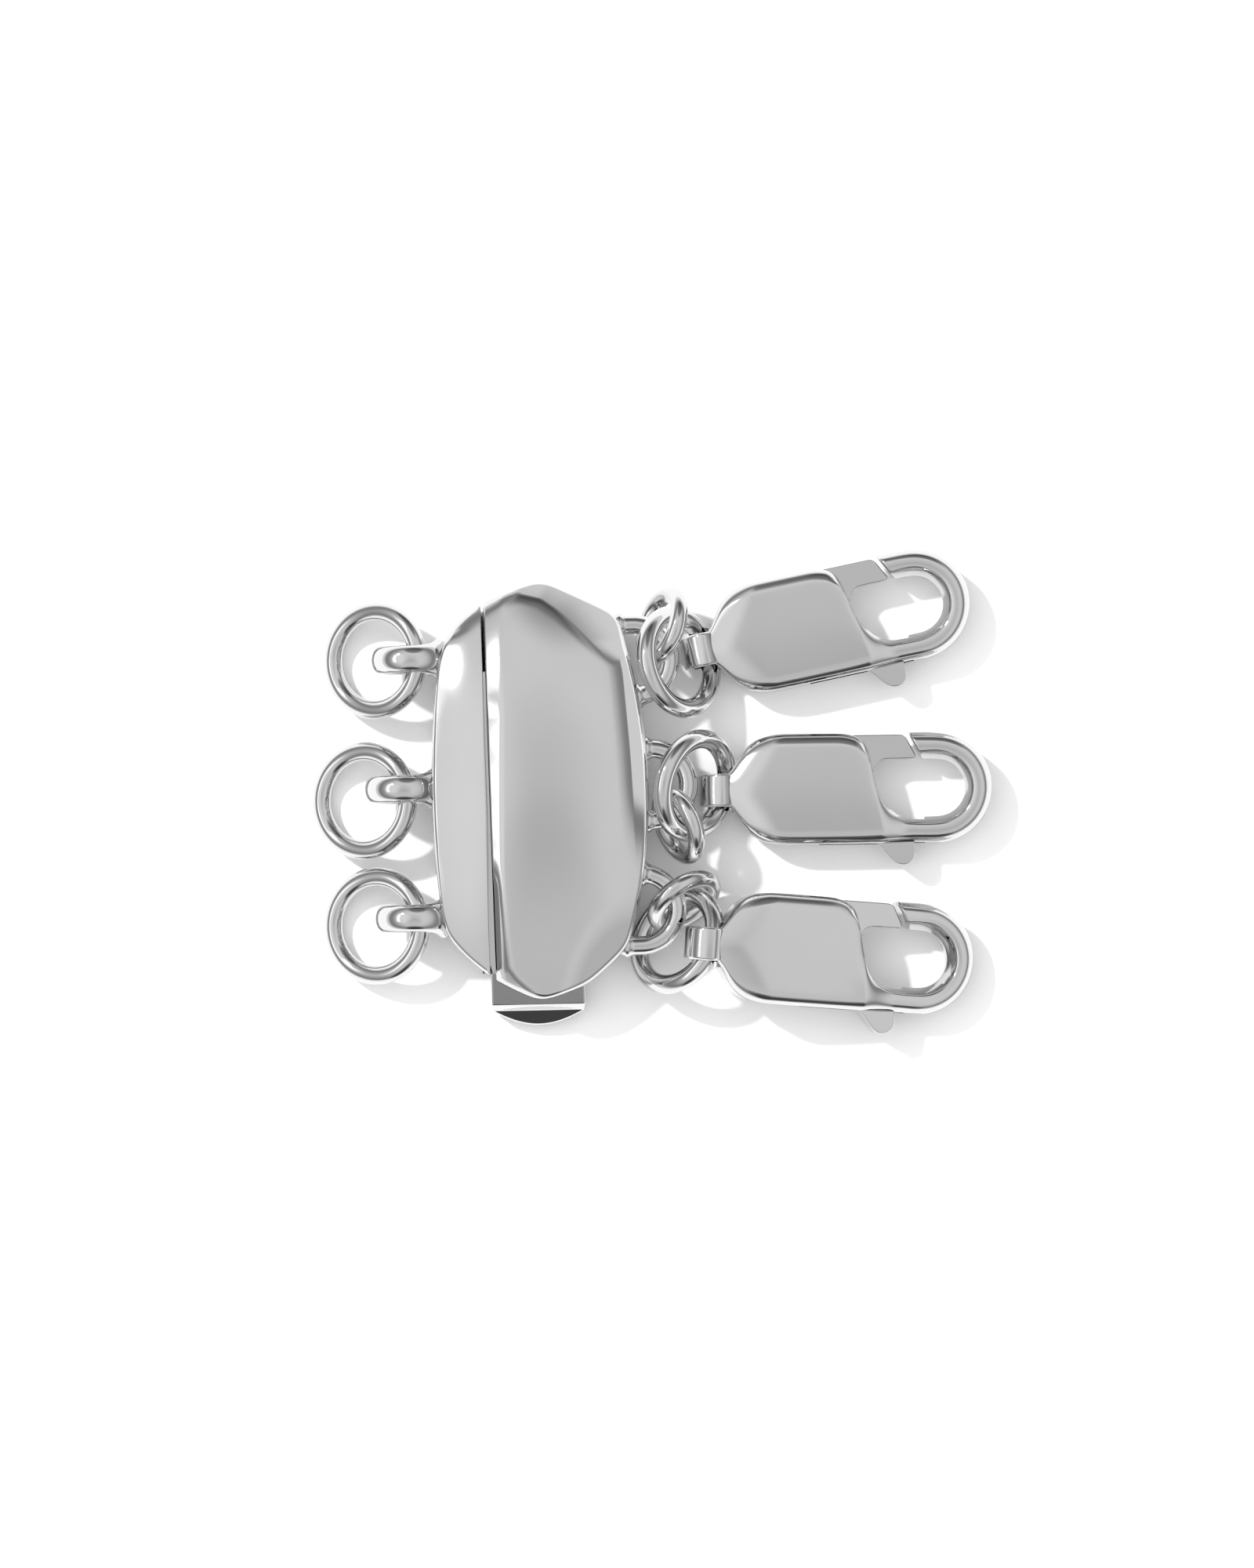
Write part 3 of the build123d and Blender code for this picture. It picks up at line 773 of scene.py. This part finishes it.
def clawSection(upper, lower, at):
    # sections between the edges: wall, rounded or bevelled edge, crown with a parabolic drop towards both
    # edges, and the same below, mirrored
    u = 1 - np.cos(np.linspace(0, quarterTurn, claw["edgeSteps"]))
    width = np.linalg.norm(upper - lower, axis=1)[:, None]
    middleX = (upper[:, 0] + lower[:, 0]) / 2
    arm = eased((at - at[np.argmax(middleX > claw["armFrom"])]) / claw["armOver"])[:, None]
    opening = eased((at - at[np.argmax(upper[:, 0] > claw["bevelFrom"])]) / claw["bevelOver"])[:, None]
    start = mixed(claw["tailShare"], 1.0, eased((at - claw["tailFrom"]) / claw["tailOver"])[:, None])
    upperWidth = mixed(claw["roundWidth"] * start, claw["bevelWidth"], opening)
    lowerWidth = mixed(claw["roundWidth"] * start, claw["armRoundWidth"], arm)
    crown = mixed(upperWidth, width - lowerWidth, np.linspace(0, 1, claw["crownSteps"])[None, 1:-1])
    share = np.hstack([upperWidth * u, crown, width - lowerWidth * u[::-1]]) / width
    pastNeck = eased((middleX - claw["neckFrom"]) / claw["neckOver"])[:, None]
    bend = claw["neckBend"] * np.clip(claw["neckEnd"] - middleX, 0, None)[:, None] ** 2
    peak = mixed(claw["plateHalf"], claw["armHalf"], arm) - bend
    drop = mixed(mixed(claw["neckDrop"], claw["plateDrop"], pastNeck), claw["armDrop"], arm)
    flat = upper[:, None] + (lower - upper)[:, None] * share[..., None]
    height = shouldered(peak - drop * (2 * share - 1) ** 2, flat[..., 0], flat[..., 1])
    height[:, :len(u)] -= mixed(claw["roundDepth"] * edgeRound(u), claw["bevelDepth"] * edgeBevel(u), opening)
    height[:, -len(u):] -= mixed(claw["roundDepth"], claw["armRoundDepth"], arm) * edgeRound(u)[::-1]
    top = np.concatenate([flat, height[..., None]], -1)
    low = np.concatenate([flat, -height[..., None]], -1)[:, ::-1]
    return np.concatenate([top, low], 1)


def clawPlate():
    # the sections in order, drawn together past the last one along a quarter circle to round the tip's rim
    rings = clawSection(*clawEdges())
    middles = rings.mean(1, keepdims=True)
    tip = middles[-1]
    ahead = tip - middles[-2]
    ahead /= np.linalg.norm(ahead)
    edge = claw["tipEdge"]
    caps = []
    for t in np.linspace(0, quarterTurn, claw["tipSteps"])[1:]:
        drawn = 1 - edge * (1 - math.cos(t)) / (claw["arm"] / 2)
        caps.append(tip + (rings[-1] - tip) * drawn + ahead * edge * math.sin(t))
    caps.append(tip + (caps[-1] - tip) * claw["tipInset"])
    return ringSolid(np.concatenate([rings, np.array(caps)])[:, ::-1])


def sideways(solid):
    # a slab drawn flat, stood up so that its thickness runs across the clasp
    return moved(solid, (0, 0, 0), ((1, 0, 0), (0, 0, 1), (0, -1, 0)))


tail = dict(
    radius=1.08, half=0.7, edge=0.12, softness=0.05,
    inPlate=[(1.3, -0.96), (2.05, -0.4), (2.05, 0.4), (1.3, 0.96)],  # the block's end, inside the plate
    hole=0.74, holeReach=0.95, arcSamples=25, samples=200, holeSides=72,
)


def clawTail():
    # the tail: a block with a half-round end, standing upright
    turn = np.linspace(quarterTurn, 3 * quarterTurn, tail["arcSamples"])
    r = tail["radius"]
    arc = np.stack([r + r * np.cos(turn), r * np.sin(turn)], 1).tolist()
    outline = softOutline(arc + tail["inPlate"], tail["samples"], tail["softness"])
    return sideways(roundedSlab(outline, -tail["half"], tail["half"], tail["edge"]))


# the lever's slot, through the plate and below the middle along the arm, and the pin's blind hole
cuts = dict(slotStart=5.1, slotHalf=0.5, slotPlateEnd=7.45, slotArmEnd=9.6, armStart=5.11, past=4.0,
            pivotX=6.5, pinRadius=0.36, pinLow=-2.0, pinHigh=-0.4, pinSides=48)


def clawBody():
    # plate, hook and tail joined, then the eye hole, the lever's slot and the pin's hole cut
    half, past = cuts["slotHalf"], cuts["past"]
    eyeRod = sideways(rod(tail["hole"], -tail["holeReach"], tail["holeReach"], tail["holeSides"]))
    eyeHole = moved(eyeRod, (tail["radius"], 0, 0), np.eye(3))
    plateSlot = box((cuts["slotStart"], -past, -half), (cuts["slotPlateEnd"], past, half))
    armSlot = box((cuts["armStart"], -past, -half), (cuts["slotArmEnd"], 0, half))
    pinRod = rod(cuts["pinRadius"], cuts["pinLow"], cuts["pinHigh"], cuts["pinSides"])
    pinHole = moved(pinRod, (cuts["pivotX"], 0, 0), np.eye(3))
    whole = carved(clawPlate(), "UNION", clawTail())
    return carved(whole, "DIFFERENCE", eyeHole, plateSlot, armSlot, pinHole)


# the lever's outline, anticlockwise in parts, and its gate, whose slanted end stops short of the hook's tip
lever = dict(
    hub=[(5.62, 0.35), (5.62, -0.35), (6.1, -0.85)],
    thumb=[(7.65, -2.35), (8.25, -3.1), (8.5, -3.28), (8.85, -3.28), (9.16, -3.05), (9.2, -2.35),
           (9.05, -1.5)],
    waist=[(7.75, -0.95), (7.42, 0.5), (7.55, 1.0)],
    gateStart=6.1, gateCorner=7.85, gateTop=2.27, gateLow=1.24, gateGap=0.25, gateSlant=27.0,
    half=0.5, edge=0.06, softness=0.14, samples=300,
)


def gateEnd(y):
    # a point on the gate's slanted end
    slant = math.radians(lever["gateSlant"])
    x = claw["tipOuter"] + (claw["half"] - y) * math.tan(slant) - lever["gateGap"] / math.cos(slant)
    return x, y


def clawLever():
    # the lever: a flat plate from the gate's upper corner by hub, thumb tab and waist to the gate's end
    top, low = lever["gateTop"], lever["gateLow"]
    points = [(lever["gateStart"], top)] + lever["hub"] + lever["thumb"] + lever["waist"]
    points += [(lever["gateCorner"], low), gateEnd(low), gateEnd(top)]
    outline = softOutline(points, lever["samples"], lever["softness"])
    return roundedSlab(outline, -lever["half"], lever["half"], lever["edge"])


# how the three lobster clasps lie, from the far end to the tab, in degrees
strands = [dict(turn=11.1, lift=0.0), dict(turn=-0.3, lift=0.0), dict(turn=-5.1, lift=11.6)]


def strandAxes(turn, lift):
    # the clasp's own axes: turned about the upright, then its tail lifted
    t, k = math.radians(turn), math.radians(lift)
    return (
        (math.cos(t) * math.cos(k), math.sin(t) * math.cos(k), -math.sin(k)),
        (-math.sin(t), math.cos(t), 0.0),
        (math.cos(t) * math.sin(k), math.sin(t) * math.sin(k), math.cos(k)),
    )


pivots = {j["name"]: np.array(j["pos_m"]) / mm for j in frame["joints"] if j["type"] == "hinge"}
bodySolid, leverSolid = clawBody(), clawLever()
for number, strand in enumerate(strands, 1):
    axes = strandAxes(strand["turn"], strand["lift"])
    origin = pivots[f"lever_{number}_pivot"] - cuts["pivotX"] * np.array(axes[0])
    newPiece(f"clawBody{number}", moved(bodySolid, origin, axes), plate, "housing", f"claw_body_{number}",
             sharp=claw["sharp"])
    newPiece(f"clawLever{number}", moved(leverSolid, origin, axes), plate, f"lever_{number}",
             f"claw_lever_{number}", sharp=claw["sharp"])
    # a pin shows only its plain end, so it keeps its own mesh from the frame
    pin = frame["nodes"][f"claw_pin_{number}"]
    pin.data.materials.clear()
    pin.data.materials.append(plate)
print("lobster clasps ready")


# table, light and camera

studio = dict(
    tableSize=3000.0, tableColour="#f4f4f4",
    keyTilt=43.0, keyTurn=141.7, keyAngle=3.6, keyStrength=2.7,
    fillAngle=120.0, fillStrength=1.2,
)
# brightness of the room by height above the horizon: the sine of the angle, and how bright
skyBands = [
    dict(sine=0.0, bright=1.5), dict(sine=0.03, bright=1.1), dict(sine=0.06, bright=1.0),
    dict(sine=0.13, bright=1.0), dict(sine=0.2, bright=0.38), dict(sine=0.3, bright=0.3),
    dict(sine=0.42, bright=0.38), dict(sine=0.52, bright=0.58), dict(sine=0.66, bright=0.84),
    dict(sine=0.8, bright=0.92), dict(sine=0.9, bright=0.95), dict(sine=0.96, bright=0.85),
    dict(sine=1.0, bright=0.78),
]
# soft patches that darken or brighten it: where (degrees round from +X, degrees up), how wide, and how much
skyPatches = [
    dict(around=80, up=35, inner=10, outer=28, gain=0.3),  # the unlit wall behind the far end
    dict(around=-90, up=22, inner=8, outer=24, gain=0.2),  # and a narrower one behind the tab
    dict(around=-90, up=68, inner=5, outer=30, gain=0.85),
    dict(around=180, up=58, inner=6, outer=32, gain=1.15),
] + [
    dict(around=around, up=42, inner=2, outer=8, gain=1.55)  # a long window low on the left
    for around in (152, 161, 170, 179, 188, 197)
]
view = dict(
    lookAt=(3.68, 0.25, 2.0), distance=420.0, lean=2.0, roll=1.2,
    lens=226.8, sensor=36.0, nearest=10.0, farthest=5000.0,
)


def whiteTable():
    # A large level sheet of uncoated white paper, rolled without a gloss: it scatters light evenly and
    # mirrors nothing.
    r = studio["tableSize"] / 2
    points = np.array([(-r, -r, 0), (r, -r, 0), (r, r, 0), (-r, r, 0)], float)
    finish = bpy.data.materials.new("mattWhitePaper")
    finish.use_nodes = True
    shader = finish.node_tree.nodes["Principled BSDF"]
    shader.inputs["Base Color"].default_value = linear(studio["tableColour"])
    shader.inputs["Roughness"].default_value = 1.0
    shader.inputs["Specular IOR Level"].default_value = 0.0
    table = newPiece("table", (points, [[0, 1, 2, 3]]), finish, None)


def studioSky():
    # the soft room that the metal mirrors: bands by height, times the patches
    world = bpy.data.worlds.new("studioSky")
    bpy.context.scene.world = world
    world.use_nodes = True
    tree = world.node_tree
    back = tree.nodes["Background"]
    way = addNode(tree, "ShaderNodeTexCoord", {}).outputs["Generated"]
    parts = addNode(tree, "ShaderNodeSeparateXYZ", {}, [(way, "Vector")])
    ramp = addNode(tree, "ShaderNodeValToRGB", {}, [(parts.outputs["Z"], "Fac")])
    while len(ramp.color_ramp.elements) < len(skyBands):
        ramp.color_ramp.elements.new(0.5)
    for element, band in zip(ramp.color_ramp.elements, skyBands):
        element.position = band["sine"]
        element.color = (band["bright"],) * 3 + (1.0,)
    ramp.color_ramp.interpolation = "B_SPLINE"
    bright = ramp.outputs["Color"]
    for patch in skyPatches:
        turn, up = math.radians(patch["around"]), math.radians(patch["up"])
        towards = (math.cos(turn) * math.cos(up), math.sin(turn) * math.cos(up), math.sin(up))
        near = addNode(tree, "ShaderNodeVectorMath", {"operation": "DOT_PRODUCT"}, [(way, 0)])
        near.inputs[1].default_value = towards
        gain = addNode(tree, "ShaderNodeMapRange", {
            "interpolation_type": "SMOOTHERSTEP",
            "From Min": math.cos(math.radians(patch["outer"])),
            "From Max": math.cos(math.radians(patch["inner"])),
            "To Min": 1.0, "To Max": patch["gain"]}, [(near.outputs["Value"], "Value")])
        product = addNode(tree, "ShaderNodeVectorMath", {"operation": "MULTIPLY"}, [(bright, 0)])
        tree.links.new(gain.outputs["Result"], product.inputs[1])
        bright = product.outputs["Vector"]
    tree.links.new(bright, back.inputs["Color"])
    back.inputs["Strength"].default_value = 1.0


def sunLamp(name, tilt, turn, angle, strength, mirrored):
    # a far lamp: how far from overhead, which way round from +X, and how wide it looks
    lamp = bpy.data.lights.new(name, "SUN")
    lamp.energy = strength
    lamp.angle = math.radians(angle)
    holder = bpy.data.objects.new(name, lamp)
    bpy.context.scene.collection.objects.link(holder)
    holder.rotation_euler = (0.0, math.radians(tilt), math.radians(turn))
    holder.visible_glossy = mirrored


def photoCamera():
    # straight above, leaning a little towards the tab, with the picture turned as the photo shows it
    lens = bpy.data.cameras.new("photoCamera")
    lens.sensor_fit = "VERTICAL"
    lens.sensor_height = view["sensor"]
    lens.lens = view["lens"]
    lens.clip_start = view["nearest"] * mm
    lens.clip_end = view["farthest"] * mm
    camera = bpy.data.objects.new("photoCamera", lens)
    bpy.context.scene.collection.objects.link(camera)
    lean, roll = math.radians(view["lean"]), math.radians(view["roll"])
    out = np.array([-math.sin(roll) * math.sin(lean), -math.cos(roll) * math.sin(lean), math.cos(lean)])
    camera.location = (np.array(view["lookAt"]) + out * view["distance"]) * mm
    camera.rotation_euler = (lean, 0.0, -roll)
    bpy.context.scene.camera = camera


whiteTable()
studioSky()
sunLamp("keyLamp", studio["keyTilt"], studio["keyTurn"], studio["keyAngle"], studio["keyStrength"], True)
sunLamp("fillLamp", 0.0, 0.0, studio["fillAngle"], studio["fillStrength"], False)
photoCamera()
bpy.context.scene.view_settings.view_transform = "Standard"
print("studio ready")
